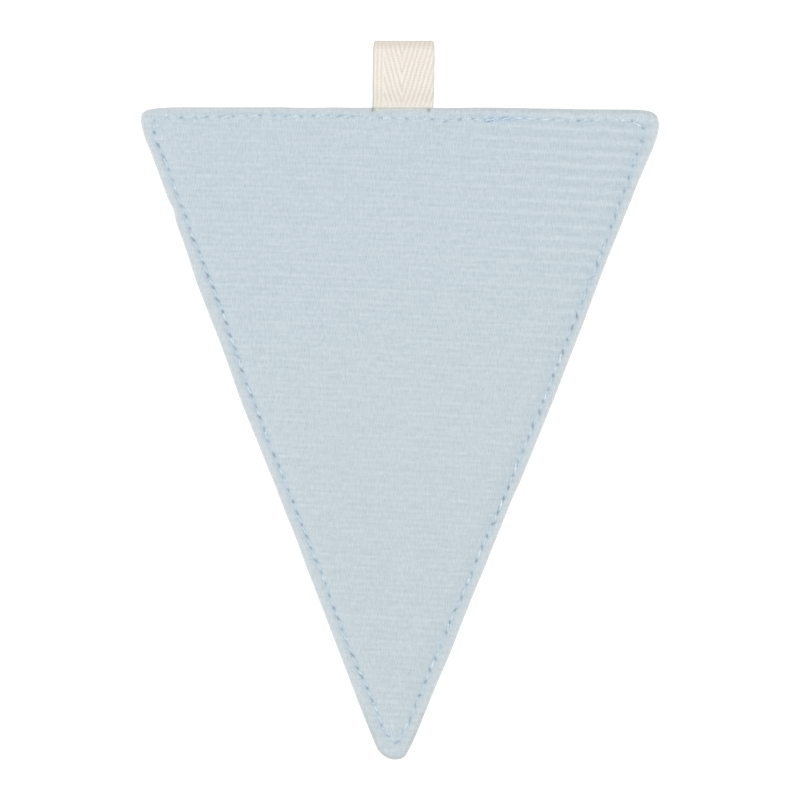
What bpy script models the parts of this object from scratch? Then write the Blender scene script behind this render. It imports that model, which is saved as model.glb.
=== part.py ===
# Bunting flag, lying flat on its back: two triangular panels of ribbed velvet, sewn and turned, with a
# folded cotton tape caught in the top seam as its hanging loop. The low point is at -Y, the loop at +Y, and
# the face is up.
# Every length below is in millimetres, and the meshes are made in metres.
import math

import bmesh
import bpy
from mathutils import Vector

MM = 0.001

# The points where the three straight sides would meet if the corners weren't rounded.
LEFT_POINT = Vector((-82.46, 90.63))
RIGHT_POINT = Vector((82.75, 89.83))
LOW_POINT = Vector((-2.2, -120.6))

# How far each side bows out of its straight line, `out`, at a distance `along` from the side's first point.
TOP_BOW = [
    {"along": 0.0, "out": 0.0},
    {"along": 18.5, "out": 0.09},
    {"along": 44.5, "out": 0.22},
    {"along": 54.0, "out": 0.08},
    {"along": 61.0, "out": 0.25},
    {"along": 70.5, "out": 0.17},
    {"along": 94.0, "out": 0.21},
    {"along": 109.0, "out": 0.43},
    {"along": 131.0, "out": 0.21},
    {"along": 139.0, "out": 0.06},
    {"along": 165.0, "out": 0.0},
]
RIGHT_BOW = [
    {"along": 0.0, "out": 0.0},
    {"along": 13.0, "out": 0.17},
    {"along": 23.0, "out": -0.12},
    {"along": 50.0, "out": -0.12},
    {"along": 61.5, "out": 0.2},
    {"along": 73.5, "out": 0.5},
    {"along": 97.5, "out": 0.78},
    {"along": 121.5, "out": 0.72},
    {"along": 130.0, "out": 0.4},
    {"along": 162.0, "out": 0.28},
    {"along": 182.0, "out": 0.43},
    {"along": 194.0, "out": 0.15},
    {"along": 227.0, "out": 0.0},
]
LEFT_BOW = [
    {"along": 0.0, "out": 0.0},
    {"along": 14.0, "out": 0.03},
    {"along": 29.5, "out": 0.2},
    {"along": 57.0, "out": 0.36},
    {"along": 85.0, "out": 0.5},
    {"along": 101.0, "out": 0.55},
    {"along": 110.0, "out": 0.8},
    {"along": 129.0, "out": 1.17},
    {"along": 145.0, "out": 0.81},
    {"along": 149.0, "out": 0.65},
    {"along": 153.0, "out": 0.9},
    {"along": 169.0, "out": 0.93},
    {"along": 181.0, "out": 0.35},
    {"along": 189.0, "out": 0.29},
    {"along": 193.0, "out": -0.34},
    {"along": 197.0, "out": 0.03},
    {"along": 205.0, "out": -0.12},
    {"along": 226.0, "out": 0.0},
]

# Rounded corners: `before` and `after` are how far from the corner its curve starts and ends, and `full`
# is how far it fills the corner. `sewn` holds the same three for the sewing line.
CORNERS = {
    "right": {"before": 11.0, "after": 12.5, "full": 1.6, "sewn": (6.5, 9.0, 1.0)},
    "low": {"before": 17.5, "after": 17.5, "full": 0.79, "sewn": (10.4, 10.4, 0.47)},
    "left": {"before": 14.0, "after": 17.0, "full": 2.8, "sewn": (4.0, 6.0, 0.8)},
}
CORNER_STEPS = 10
SIDE_STEP = 7.0
SEWN_IN = 3.0
LEAST_SETBACK = 1.5
LEAST_FULL = 0.4

# Panels, one above the other with a parting between them.
BACK_TOP = 1.6
FRONT_UNDER = 1.9
RIM_RADIUS = 1.6
RIM_THICK = 1.7
RIM_STEPS = 3
FACE_THICK = 1.15
GROOVE = [
    {"inset": 2.4, "thick": 1.55, "ribbed": 0.0},
    {"inset": SEWN_IN, "thick": 1.05, "ribbed": 0.0},
    {"inset": 3.8, "thick": 1.12, "ribbed": 0.7},
    {"inset": 5.6, "thick": FACE_THICK, "ribbed": 1.0},
]

# Ribs run across the face, a little lower at the right. The first crest is given on the middle line, x = 0.
RIB_PITCH = 3.77
RIB_TILT = 0.04
RIB_HEIGHT = 0.35
RIB_CREST_Y = 78.88
RIB_SECTION = [
    {"turn": 0.0, "height": 1.0},
    {"turn": 0.25, "height": 0.85},
    {"turn": 0.5, "height": 0.0},
    {"turn": 0.75, "height": 0.85},
]

# Tape: its ends lie between the panels, and it opens into a loop beyond the top side.
TAPE_WIDTH = 19.1
TAPE_THICK = 1.0
TAPE_CENTRE = 0.45
TAPE_LEAN = 0.35
TAPE_SKEW = 0.5
SEAM_Y = 90.4
ROOT_END = 80.4
ROOT_LOW = 1.3
ROOT_HIGH = 2.5
CROTCH_Y = 91.6
LOOP_END = 111.46
LOOP_HEIGHT = 6.8
LOWER_FLAT_Y = 96.5
UPPER_FLAT_Y = 101.0
FOLD_STEPS = 10
PLY_STEPS = 8
FOLD_NARROWING = 0.05

NEAR = 0.01
CUT_NEAR = 0.00001

# The panels part further over the tape's ends.
POCKET_CLEAR = 0.4
POCKET_RAMP = 4.0
FRONT_LIFT = 0.9
BACK_DIP = 0.6
POCKET_THINNING = 0.2


def clear_scene():
    for obj in list(bpy.data.objects):
        bpy.data.objects.remove(obj, do_unlink=True)


def blend(low, high, share):
    return low + (high - low) * share


def smooth(value, start, end):
    share = min(max((value - start) / (end - start), 0.0), 1.0)
    return share * share * (3 - 2 * share)


def look_up(rows, key, value, column):
    """The column's value between the two rows whose keys are on either side of the value."""
    for low, high in zip(rows, rows[1:]):
        if value <= high[key]:
            share = max(value - low[key], 0.0) / (high[key] - low[key])
            return blend(low[column], high[column], smooth(share, 0.0, 1.0))
    return rows[-1][column]


def inner_corner(corner, before, after, inset):
    """The corner of the two sides moved inwards."""
    to_before = (before - corner).normalized()
    to_after = (after - corner).normalized()
    return corner + (to_before + to_after) * inset / abs(to_before.cross(to_after))


def corner_shape(name, inset):
    """Setbacks and fullness of a corner's curve, from the edge's values to the sewing line's."""
    row = CORNERS[name]
    share = inset / SEWN_IN
    edge = (row["before"], row["after"], row["full"])
    before, after, full = (blend(outer, sewn, share) for outer, sewn in zip(edge, row["sewn"]))
    return max(before, LEAST_SETBACK), max(after, LEAST_SETBACK), max(full, LEAST_FULL)


def contour(inset):
    """Closed outline at this distance inside the edge, clockwise, from the left end of the top side."""
    names = ["left", "right", "low"]
    points = {"left": LEFT_POINT, "right": RIGHT_POINT, "low": LOW_POINT}
    bows = {"left": TOP_BOW, "right": RIGHT_BOW, "low": LEFT_BOW}
    inner = {}
    for index, name in enumerate(names):
        before, after = points[names[index - 1]], points[names[(index + 1) % 3]]
        inner[name] = inner_corner(points[name], before, after, inset)

    def on_side(name, following, along):
        """A point of an inset side, bowed out as the panel's edge is there."""
        direction = (inner[following] - inner[name]).normalized()
        outward = Vector((-direction.y, direction.x))
        passed = along + (inner[name] - points[name]).dot(direction)
        return inner[name] + direction * along + outward * look_up(bows[name], "along", passed, "out")

    outline = []
    for index, name in enumerate(names):
        following = names[(index + 1) % 3]
        after_that = names[(index + 2) % 3]
        length = (inner[following] - inner[name]).length
        first = corner_shape(name, inset)[1]
        before, after, full = corner_shape(following, inset)
        count = round((points[following] - points[name]).length / SIDE_STEP)
        for step in range(count):
            along = blend(first, length - before, step / count)
            outline.append(on_side(name, following, along))
        start = on_side(name, following, length - before)
        end = on_side(following, after_that, after)
        for step in range(CORNER_STEPS):
            outline.append(conic(start, inner[following], end, full, step / CORNER_STEPS))
    return outline


def conic(start, corner, end, full, share):
    """A point of the curve that leaves start and reaches end along the corner's two sides."""
    weights = (1 - share) ** 2, 2 * full * share * (1 - share), share**2
    return (start * weights[0] + corner * weights[1] + end * weights[2]) / sum(weights)


def under_pocket(x, y):
    """1 over the tape's ends, 0 away from them, with a straight ramp between."""
    half = TAPE_WIDTH / 2 + TAPE_SKEW / 2 + POCKET_CLEAR
    beside = abs(x - TAPE_CENTRE - TAPE_SKEW / 2) - half
    below = ROOT_END - POCKET_CLEAR - y
    across = 1 - min(max(beside / POCKET_RAMP, 0.0), 1.0)
    down = 1 - min(max(below / POCKET_RAMP, 0.0), 1.0)
    return across * down


def up_the_ribs(point):
    """How far up the middle line the rib through this point crosses it."""
    return point.y + RIB_TILT * point.x


def rib(point):
    """Height of the ribs' section at this point, from 0 in the valley to 1 on the crest."""
    turn = ((RIB_CREST_Y - up_the_ribs(point)) / RIB_PITCH) % 1
    return look_up(RIB_SECTION + [{"turn": 1.0, "height": 1.0}], "turn", turn, "height")


def add_ring(bm, inset, height):
    """A closed loop of points and edges at this inset and height."""
    points = [bm.verts.new((point.x, point.y, height)) for point in contour(inset)]
    edges = [bm.edges.new((point, points[index - 1])) for index, point in enumerate(points)]
    return points, edges


def join_rings(bm, rings):
    for (_, outer), (_, inner) in zip(rings, rings[1:]):
        bmesh.ops.bridge_loops(bm, edges=outer + inner)


def cut(bm, faces, point, normal):
    """Cuts these faces along an upright plane."""
    edges = {edge for face in faces for edge in face.edges}
    points = {vert for face in faces for vert in face.verts}
    bmesh.ops.bisect_plane(bm, geom=[*points, *edges, *faces], dist=CUT_NEAR, plane_co=point, plane_no=normal)


def cut_pocket(bm, inner_side):
    """Cuts the lines along which the panel starts and stops parting from the other one."""
    half = TAPE_WIDTH / 2 + TAPE_SKEW / 2 + POCKET_CLEAR
    middle = TAPE_CENTRE + TAPE_SKEW / 2
    end = ROOT_END - POCKET_CLEAR
    for y in (end, end - POCKET_RAMP):
        faces = [face for face in bm.faces if inner_side(face)]
        cut(bm, faces, (0, y, 0), (0, 1, 0))
    for offset in (-half - POCKET_RAMP, -half, half, half + POCKET_RAMP):
        faces = [face for face in bm.faces if face.calc_center_median().y > end - POCKET_RAMP]
        cut(bm, faces, (middle + offset, 0, 0), (1, 0, 0))


def cut_ribs(bm, faces_inside):
    """Cuts a row of edges at each corner of the ribs' section."""
    top = max(up_the_ribs(vert.co) for vert in bm.verts)
    low = min(up_the_ribs(vert.co) for vert in bm.verts)
    crest = RIB_CREST_Y + RIB_PITCH * math.ceil((top - RIB_CREST_Y) / RIB_PITCH)
    while crest > low - RIB_PITCH:
        for row in RIB_SECTION:
            y = crest - row["turn"] * RIB_PITCH
            faces = [face for face in faces_inside(bm) if reaches(face, y)]
            if faces:
                cut(bm, faces, (0, y, 0), (RIB_TILT, 1, 0))
        crest -= RIB_PITCH


def reaches(face, y):
    heights = [up_the_ribs(vert.co) for vert in face.verts]
    return min(heights) < y < max(heights)


def front_panel():
    bm = bmesh.new()
    ribbed = bm.verts.layers.float.new("ribbed")
    rings = []
    for step in range(RIM_STEPS + 1):
        turn = math.radians(90) * step / RIM_STEPS
        inset = RIM_RADIUS * (1 - math.cos(turn))
        rings.append(add_ring(bm, inset, FRONT_UNDER + RIM_THICK * math.sin(turn)))
    for row in GROOVE:
        rings.append(add_ring(bm, row["inset"], FRONT_UNDER + row["thick"]))
        for vert in rings[-1][0]:
            vert[ribbed] = row["ribbed"]
    join_rings(bm, rings)
    bm.faces.new(rings[-1][0])
    bm.faces.new(rings[0][0])
    groove_ring = set(rings[RIM_STEPS + 2][0])

    inside = bm.faces.layers.int.new("inside")
    for face in bm.faces:
        past_groove = all(vert[ribbed] > 0 or vert in groove_ring for vert in face.verts)
        face[inside] = int(past_groove)
    cut_ribs(bm, lambda mesh: [face for face in mesh.faces if face[inside]])
    cut_pocket(bm, lambda face: face.calc_center_median().z < FRONT_UNDER + NEAR)

    for vert in bm.verts:
        x, y, z = vert.co
        parted = under_pocket(x, y)
        thick = z - FRONT_UNDER + RIB_HEIGHT * vert[ribbed] * rib(vert.co)
        rise = smooth(parted, 0.0, 1.0) if thick > FACE_THICK / 2 else parted
        vert.co.z = FRONT_UNDER + FRONT_LIFT * rise + thick * (1 - POCKET_THINNING * parted)
    return bm


def back_panel():
    bm = bmesh.new()
    rings = []
    for step in range(RIM_STEPS + 1):
        turn = math.radians(90) * step / RIM_STEPS
        inset = RIM_RADIUS * (1 - math.cos(turn))
        rings.append(add_ring(bm, inset, BACK_TOP * (1 - math.sin(turn))))
    join_rings(bm, rings)
    bm.faces.new(rings[-1][0])
    bm.faces.new(rings[0][0])
    cut_pocket(bm, lambda face: face.calc_center_median().z > BACK_TOP - NEAR)
    for vert in bm.verts:
        x, y, z = vert.co
        vert.co.z = z * (1 - BACK_DIP / BACK_TOP * under_pocket(x, y))
    return bm


def lower_ply(y):
    """Height of the tape's lower ply, underside and upper side."""
    down = smooth(y, SEAM_Y, LOWER_FLAT_Y)
    low = blend(ROOT_LOW, 0.0, down)
    return low, low + blend((ROOT_HIGH - ROOT_LOW) / 2, TAPE_THICK, down)


def upper_ply(y):
    """Height of the tape's upper ply, upper side and underside."""
    up = smooth(y, SEAM_Y, UPPER_FLAT_Y)
    high = blend(ROOT_HIGH, LOOP_HEIGHT, up)
    return high, high - blend((ROOT_HIGH - ROOT_LOW) / 2, TAPE_THICK, up)


def loop_section():
    """Pairs of outer and inner points (y, z) along the tape, from the crotch round the loop and back."""
    radius = LOOP_HEIGHT / 2
    fold_y = LOOP_END - radius
    stations = [blend(CROTCH_Y, fold_y, step / PLY_STEPS) for step in range(PLY_STEPS)]
    lower = [((y, lower_ply(y)[0]), (y, lower_ply(y)[1])) for y in stations]
    upper = [((y, upper_ply(y)[0]), (y, upper_ply(y)[1])) for y in reversed(stations)]
    fold = []
    for step in range(FOLD_STEPS + 1):
        turn = math.radians(180) * step / FOLD_STEPS
        out_y, out_z = math.sin(turn), -math.cos(turn)
        sizes = (radius, radius - TAPE_THICK)
        fold.append(tuple((fold_y + out_y * size, radius + out_z * size) for size in sizes))
    return lower + fold + upper


def hanging_loop():
    bm = bmesh.new()
    left = -TAPE_WIDTH / 2

    def point(place):
        return bm.verts.new((left, place[0], place[1]))

    pairs = [(point(outer), point(inner)) for outer, inner in loop_section()]
    crotch = pairs[0][1]
    bm.verts.remove(pairs[-1][1])
    pairs[0] = (pairs[0][0], crotch)
    pairs[-1] = (pairs[-1][0], crotch)
    crotch.co.z = (ROOT_LOW + ROOT_HIGH) / 2
    faces = []
    for (outer, inner), (next_outer, next_inner) in zip(pairs, pairs[1:]):
        faces.append(bm.faces.new((outer, next_outer, next_inner, inner)))
    root = [pairs[0][0], crotch, pairs[-1][0]]
    for y in (SEAM_Y, ROOT_END):
        middle = (y, (ROOT_LOW + ROOT_HIGH) / 2)
        row = [point((y, ROOT_LOW)), point(middle), point((y, ROOT_HIGH))]
        for index in (0, 1):
            faces.append(bm.faces.new((row[index], root[index], root[index + 1], row[index + 1])))
        root = row
    grown = bmesh.ops.extrude_face_region(bm, geom=faces)["geom"]
    far_side = [item for item in grown if isinstance(item, bmesh.types.BMVert)]
    bmesh.ops.translate(bm, verts=far_side, vec=(TAPE_WIDTH, 0, 0))

    narrow_from = LOOP_END - LOOP_HEIGHT / 2
    for vert in bm.verts:
        x, y, z = vert.co
        out = max(y - SEAM_Y, 0.0) / (LOOP_END - SEAM_Y)
        bend = max(y - narrow_from, 0.0) / (LOOP_END - narrow_from)
        lowness = 1 - min(z / LOOP_HEIGHT, 1.0)
        x *= 1 - FOLD_NARROWING * bend * bend
        vert.co.x = x + TAPE_CENTRE + TAPE_LEAN * out + TAPE_SKEW * lowness * smooth(out, 0.0, 0.2)
    return bm


def material(name, colour, roughness):
    made = bpy.data.materials.new(name)
    made.use_nodes = True
    shader = made.node_tree.nodes["Principled BSDF"]
    shader.inputs["Base Color"].default_value = (*colour, 1)
    shader.inputs["Roughness"].default_value = roughness
    shader.inputs["Metallic"].default_value = 0
    return made


def add_piece(name, bm, finish):
    """Turns a modelled shape, in millimetres, into a named object in metres."""
    bmesh.ops.scale(bm, verts=bm.verts, vec=(MM, MM, MM))
    bmesh.ops.recalc_face_normals(bm, faces=bm.faces)
    mesh = bpy.data.meshes.new(name)
    bm.to_mesh(mesh)
    bm.free()
    mesh.materials.append(finish)
    mesh.shade_smooth()
    mesh.set_sharp_from_angle(angle=math.radians(40))
    piece = bpy.data.objects.new(name, mesh)
    bpy.context.scene.collection.objects.link(piece)
    return piece


clear_scene()
velvet = material("ribbed_velvet", (0.578, 0.658, 0.708), 0.9)
cotton = material("cotton_tape", (0.847, 0.797, 0.717), 0.85)
add_piece("front_panel", front_panel(), velvet)
add_piece("back_panel", back_panel(), velvet)
add_piece("hanging_loop", hanging_loop(), cotton)
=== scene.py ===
import math

import bmesh
import bpy
import numpy as np
from mathutils import Matrix, Vector


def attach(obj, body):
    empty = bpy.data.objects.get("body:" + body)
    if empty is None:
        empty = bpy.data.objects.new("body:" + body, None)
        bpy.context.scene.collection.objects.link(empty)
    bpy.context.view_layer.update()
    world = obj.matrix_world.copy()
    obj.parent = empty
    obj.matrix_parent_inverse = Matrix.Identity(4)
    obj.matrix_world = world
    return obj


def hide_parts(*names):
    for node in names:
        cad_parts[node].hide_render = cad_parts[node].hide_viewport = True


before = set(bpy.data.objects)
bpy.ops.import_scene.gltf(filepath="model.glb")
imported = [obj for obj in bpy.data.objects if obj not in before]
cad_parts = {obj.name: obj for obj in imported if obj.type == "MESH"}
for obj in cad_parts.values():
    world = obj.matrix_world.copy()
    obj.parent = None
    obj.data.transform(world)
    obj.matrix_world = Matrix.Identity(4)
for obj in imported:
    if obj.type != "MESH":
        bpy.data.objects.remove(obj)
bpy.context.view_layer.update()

# Plan lengths are in millimetres until a piece is finished, and the flag lies face up with its tip at -Y.
mm = 0.001
chance = np.random.default_rng(11)


def say(text):
    print("bunting:", text)


def ramp(value, start, end):
    share = np.clip((value - start) / (end - start), 0, 1)
    return share * share * (3 - 2 * share)


def bell(value, width):
    return np.exp(-(value / width) ** 2)


def lengths(points):
    return np.linalg.norm(np.roll(points, -1, axis=0) - points, axis=1)


def leftOf(ahead):
    return np.stack([-ahead[:, 1], ahead[:, 0]], axis=1)


# An even closed curve through a few points, with the slope at each point shared by its two neighbours.
def smoothLoop(points, count, samples=24):
    points = np.asarray(points, float)
    gaps = lengths(points)
    chords = (np.roll(points, -1, axis=0) - points) / gaps[:, None]
    before = np.roll(gaps, 1)
    slopes = chords * before[:, None] + np.roll(chords, 1, axis=0) * gaps[:, None]
    slopes /= (gaps + before)[:, None]
    share = np.linspace(0, 1, samples, endpoint=False)[None, :, None]
    start, end = points[:, None, :], np.roll(points, -1, axis=0)[:, None, :]
    leave = slopes[:, None, :] * gaps[:, None, None]
    arrive = np.roll(slopes, -1, axis=0)[:, None, :] * gaps[:, None, None]
    curve = (
        start * (2 * share**3 - 3 * share**2 + 1)
        + end * (3 * share**2 - 2 * share**3)
        + leave * (share**3 - 2 * share**2 + share)
        + arrive * (share**3 - share**2)
    ).reshape(-1, 2)
    return evenLoop(curve, count)


def evenLoop(curve, count):
    closed = np.vstack([curve, curve[:1]])
    run = np.concatenate([[0], np.cumsum(np.linalg.norm(np.diff(closed, axis=0), axis=1))])
    wanted = np.linspace(0, run[-1], count, endpoint=False)
    return np.stack([np.interp(wanted, run, closed[:, axis]) for axis in (0, 1)], axis=1)


def smoothRound(values, reach):
    if reach < 1:
        return values
    offsets = np.arange(-3 * reach, 3 * reach + 1)
    weights = np.exp(-(offsets / reach) ** 2)
    padded = np.concatenate([values[-3 * reach:], values, values[:3 * reach]])
    return np.convolve(padded, weights / weights.sum(), mode="valid")


# The point of a closed curve that lies across from each of these points, kept in order round the curve.
def across(curve, points, reach, batch=200):
    nearest = np.empty(len(points))
    for first in range(0, len(points), batch):
        some = points[first:first + batch]
        away = ((some[:, None, :] - curve[None, :, :]) ** 2).sum(2)
        nearest[first:first + batch] = away.argmin(1)
    turns = np.unwrap(nearest * 2 * math.pi / len(curve)) * len(curve) / (2 * math.pi)
    even = np.arange(len(points)) * len(curve) / len(points)
    places = smoothRound(turns - even, reach) + even
    low = np.floor(places).astype(int)
    share = (places - low)[:, None]
    return curve[low % len(curve)] * (1 - share) + curve[(low + 1) % len(curve)] * share


def distanceTo(curve, points, batch=2000):
    away = np.empty(len(points))
    for first in range(0, len(points), batch):
        some = points[first:first + batch]
        away[first:first + batch] = np.sqrt(((some[:, None, :] - curve[None, :, :]) ** 2).sum(2).min(1))
    return away


def onlyOf(kind):
    return lambda geometry: [item for item in geometry if isinstance(item, kind)]


verticesOf, edgesOf = onlyOf(bmesh.types.BMVert), onlyOf(bmesh.types.BMEdge)
facesOf = onlyOf(bmesh.types.BMFace)


# Cuts faces along many parallel upright planes, the middle one first.
def cutAcross(bm, faces, places, normal):
    if not places or not faces:
        return faces
    middle = len(places) // 2
    edges = {edge for face in faces for edge in face.edges}
    points = {vert for face in faces for vert in face.verts}
    cut = bmesh.ops.bisect_plane(
        bm, geom=[*points, *edges, *faces], dist=0.00001, plane_co=normal * places[middle], plane_no=normal)
    near, far = [], []
    for face in facesOf(cut["geom"]):
        (near if face.calc_center_median().dot(normal) < places[middle] else far).append(face)
    return cutAcross(bm, near, places[:middle], normal) + cutAcross(bm, far, places[middle + 1:], normal)


# Rows of vertices from ring to ring, each one starting beside the first.
def orderedRings(first, count):
    rows = [list(first)]
    used = set(first)
    for _ in range(count - 1):
        row = []
        for vert in rows[-1]:
            ends = (edge.other_vert(vert) for edge in vert.link_edges)
            row.append(next(end for end in ends if end not in used))
        used.update(row)
        rows.append(row)
    return rows


# A tube of `count` rings with `corners` vertices each, which the caller then puts in place.
def extrudedRings(bm, corners, count):
    first = bmesh.ops.create_circle(bm, segments=corners, radius=1)["verts"]
    edges = list(bm.edges)
    for _ in range(count - 1):
        edges = edgesOf(bmesh.ops.extrude_edge_only(bm, edges=edges)["geom"])
    return orderedRings(first, count)


def finish(name, bm, material):
    bmesh.ops.scale(bm, verts=bm.verts, vec=(mm, mm, mm))
    bmesh.ops.recalc_face_normals(bm, faces=bm.faces)
    mesh = bpy.data.meshes.new(name)
    bm.to_mesh(mesh)
    bm.free()
    mesh.materials.append(material)
    mesh.shade_smooth()
    piece = bpy.data.objects.new(name, mesh)
    bpy.context.scene.collection.objects.link(piece)
    say(f"{name}: {sum(len(face.vertices) - 2 for face in mesh.polygons)} triangles")
    return piece


def keepValues(piece, name, values):
    layer = piece.data.attributes.new(name, "FLOAT", "POINT")
    layer.data.foreach_set("value", np.asarray(values, np.float32))


class Wire:
    def __init__(self, shop, socket):
        self.shop, self.socket = shop, socket

    def work(self, operation, *values):
        return self.shop.add("ShaderNodeMath", {"operation": operation}, dict(enumerate(values)))

    def __add__(self, other): return self.work("ADD", self, other)
    def __radd__(self, other): return self.work("ADD", other, self)
    def __sub__(self, other): return self.work("SUBTRACT", self, other)
    def __rsub__(self, other): return self.work("SUBTRACT", other, self)
    def __mul__(self, other): return self.work("MULTIPLY", self, other)
    def __rmul__(self, other): return self.work("MULTIPLY", other, self)
    def __truediv__(self, other): return self.work("DIVIDE", self, other)
    def __rtruediv__(self, other): return self.work("DIVIDE", other, self)
    def __neg__(self): return self.work("MULTIPLY", self, -1)
    def sine(self): return self.work("SINE", self)
    def __abs__(self): return self.work("ABSOLUTE", self)
    def fromWhole(self): return self.work("PINGPONG", self, 0.5)
    def bell(self, width): return self.work("EXPONENT", (self / width) * (self / width) * -1)
    def near(self, place, width): return (self - place).bell(width)
    def whole(self): return self.work("FLOOR", self)
    def step(self, start, end):
        return self.shop.add(
            "ShaderNodeMapRange", {"interpolation_type": "SMOOTHSTEP"}, {0: self, 1: start, 2: end})


class Shop:
    def __init__(self, name):
        self.material = bpy.data.materials.new(name)
        self.material.use_nodes = True
        self.tree = self.material.node_tree
        self.shader = self.tree.nodes["Principled BSDF"]
        self.count = 0

    def add(self, kind, settings=None, values=None, output=0):
        node = self.tree.nodes.new(kind)
        node.location = (-260 - 180 * (self.count // 8), 300 - 150 * (self.count % 8))
        self.count += 1
        for key, value in (settings or {}).items():
            setattr(node, key, value)
        self.fill(node, values or {})
        return Wire(self, node.outputs[output])

    def fill(self, node, values):
        for key, value in values.items():
            if isinstance(value, Wire):
                self.tree.links.new(value.socket, node.inputs[key])
            else:
                node.inputs[key].default_value = value

    def set(self, **values):
        self.fill(self.shader, {key.replace("_", " "): value for key, value in values.items()})

    def place(self):
        whole = self.add("ShaderNodeTexCoord", output="Object")
        return self.add("ShaderNodeVectorMath", {"operation": "SCALE"}, {0: whole, 3: 1 / mm})

    def axes(self, vector):
        return [self.add("ShaderNodeSeparateXYZ", values={0: vector}, output=axis) for axis in (0, 1, 2)]

    def stretched(self, vector, sizes):
        return self.add("ShaderNodeVectorMath", {"operation": "MULTIPLY"}, {0: vector, 1: sizes})

    def noise(self, vector, sizes, detail=2.0, rough=0.5):
        if isinstance(sizes, tuple):
            vector, sizes = self.stretched(vector, sizes), 1.0
        values = {"Vector": vector, "Scale": sizes, "Detail": detail, "Roughness": rough}
        return self.add("ShaderNodeTexNoise", values=values)

    def noises(self, vector, table):
        return {name: self.noise(vector, *settings) for name, settings in table.items()}

    def value(self, name):
        return self.add("ShaderNodeAttribute", {"attribute_name": name}, output="Fac")

    def mix(self, share, first, second):
        return self.add("ShaderNodeMix", {"data_type": "RGBA"}, {0: share, 6: first, 7: second}, output=2)

    # Lays colours over the base. Their fourth number is the most that there is of each.
    def layered(self, colours, base, shares):
        colour = linear(colours[base])
        for name, share in shares.items():
            *levels, most = colours[name]
            colour = self.mix(share * most, colour, linear(levels))
        return colour

    def tint(self, colour, strength):
        return self.add("ShaderNodeVectorMath", {"operation": "SCALE"}, {0: colour, 3: strength})

    def shaded(self, colour, shares, strength):
        values = {0: colour, 1: self.tint(shares, strength), 2: colour}
        return self.add("ShaderNodeVectorMath", {"operation": "MULTIPLY_ADD"}, values)

    def bump(self, height, depth, strength):
        values = {"Height": height, "Distance": depth * mm, "Strength": strength}
        return self.add("ShaderNodeBump", values=values)


# A shader's colour from levels of red, green and blue out of 255.
def linear(levels):
    def one(level):
        level /= 255
        return level / 12.92 if level <= 0.04045 else ((level + 0.055) / 1.055) ** 2.4
    return (*map(one, levels), 1.0)


# The first rib's crest on the middle line, how it tilts and bends, and the pitch there and further right.
# Towards the tip the ribs sit higher by `rise`. They are `low` over most of the face and `high` at its
# upper right, past `strong` along x plus `slant` of y, and each has a lower rib halfway to the next.
ribs = {
    "crest": 78.9, "tilt": 0.0385, "bend": 0.0001, "pitch": 3.765, "spread": 0.0006,
    "rise": 0.6, "rising": (40, 100),
    "low": 0.06, "high": 0.16, "strong": (-10, 50), "slant": 0.35,
    "width": 0.7, "between": 0.4, "betweenWidth": 0.6, "level": 0.25,
}


def ribTurn(x, y):
    crest = ribs["crest"] - x * ribs["tilt"] - x * x * ribs["bend"]
    crest = crest + ribs["rise"] * ramp(-y, *ribs["rising"])
    return (crest - y) / (x * ribs["spread"] + ribs["pitch"])


def ribHeight(x, y):
    turn = ribTurn(x, y)
    away = np.abs((turn + 0.5) % 1 - 0.5) * ribs["pitch"]
    half = np.abs(turn % 1 - 0.5) * ribs["pitch"]
    strength = ribs["low"] + (ribs["high"] - ribs["low"]) * ramp(x + ribs["slant"] * y, *ribs["strong"])
    section = bell(away, ribs["width"]) + ribs["between"] * bell(half, ribs["betweenWidth"])
    return strength * (section - ribs["level"])


# Each side of the sewing line is straight, and wanders off it: pairs of a place and the offset there.
sewing = {
    "top": {
        "start": 87.375, "slope": -0.0091,
        "wander": [
            (-73, -.55), (-68, -.3), (-61, 0), (-56, .1), (-48, .45), (-40, .5), (-35, .3), (-31, .4),
            (-24, .6), (-18, .4), (-12, .2), (-6, .15), (-1, -.2), (5, -.1), (10, -.45), (14, -.7),
            (19, -.1), (24, .05), (28, -.35), (33, .35), (38, .4), (46, .1), (53, -.35), (58, -.05),
            (63, .25), (68, 0),
        ],
    },
    "right": {
        "start": 43.499, "slope": 0.404,
        "wander": [
            (81, -1.3), (74, -.96), (66, -.44), (59, -.25), (54, .12), (47, .33), (40, .45), (34, .4),
            (28, .55), (21, .7), (14, .62), (6, .9), (-5, .88), (-12, .75), (-20, .7), (-28, .7),
            (-34, .7), (-41, .3), (-52, .05), (-59, .12), (-66, -.25), (-74, -.38), (-85, -.6),
            (-97, -.6), (-101, -.7),
        ],
    },
    "left": {
        "start": -45.337, "slope": -0.3821,
        "wander": [
            (-101, .8), (-97, .98), (-93, .8), (-85, .55), (-79, .12), (-71, -.05), (-60, .07),
            (-53, .28), (-46, -.1), (-35, -.12), (-23, -.12), (-12, -.5), (-3, -.3), (3, -.35),
            (10, -.3), (15, .1), (21, .3), (29, .62), (37, .38), (43, .38), (51, .2), (58, .42),
            (66, .42), (70, .7), (76, .6), (82, .55),
        ],
    },
    "topLeft": [(-76.45, 85.5), (-76.2, 86.7), (-75.2, 87.4)],
    "topRight": [(71.2, 86.6), (73.6, 86.0), (75.1, 84.4), (75.3, 82.9)],
    "low": [(0.7, -102.9), (-0.2, -104.8), (-1.1, -106.0), (-2.1, -106.0), (-3.4, -104.7), (-4.9, -103.2)],
    "corners": {"topLeft": 1, "topRight": 2, "low": 2}, "topRightSharp": (76.5, 87.0),
    "pitch": {"top": 4.12, "right": 4.1, "left": 3.95},
}


def sewnSide(name):
    side = sewing[name]
    return [(at, side["start"] + side["slope"] * at + off) for at, off in side["wander"]]


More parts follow.
